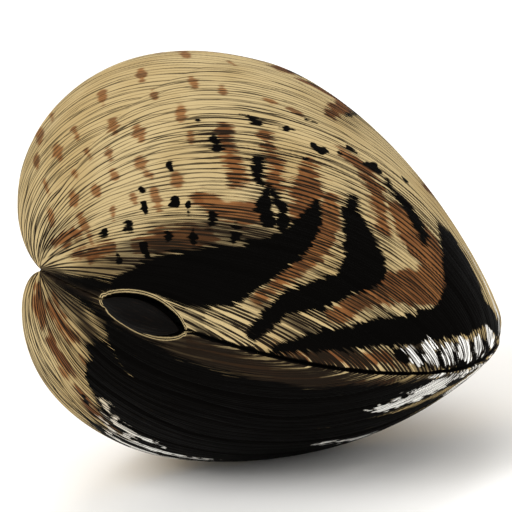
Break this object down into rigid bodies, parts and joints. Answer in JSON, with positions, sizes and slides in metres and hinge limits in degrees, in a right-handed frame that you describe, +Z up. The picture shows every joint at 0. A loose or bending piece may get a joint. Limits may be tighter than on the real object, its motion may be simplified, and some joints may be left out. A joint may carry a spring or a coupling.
{
  "type": "bivalve shell",
  "caption": "Closed bivalve sea shell with swollen beaks, concentric growth ridges and a dark ligament, lying on its lower valve as a natural ornament.",
  "frame": {"origin": "middle of the footprint, on the surface that the shell lies on", "axes": "+Z up, +X from the beaks to the rear tip as seen from above, -Y the hinge side with the ligament"},
  "size_m": [0.0608, 0.0668, 0.0508],
  "materials": {
    "upper_valve": "satin, cream with brown flames and black chevrons",
    "lower_valve": "satin, near black with pale growth streaks",
    "ligament": "satin, dark horn"
  },
  "bodies": {
    "root": {"upper_valve": "upper_valve", "lower_valve": "lower_valve", "ligament": "ligament"}
  },
  "joints": []
}
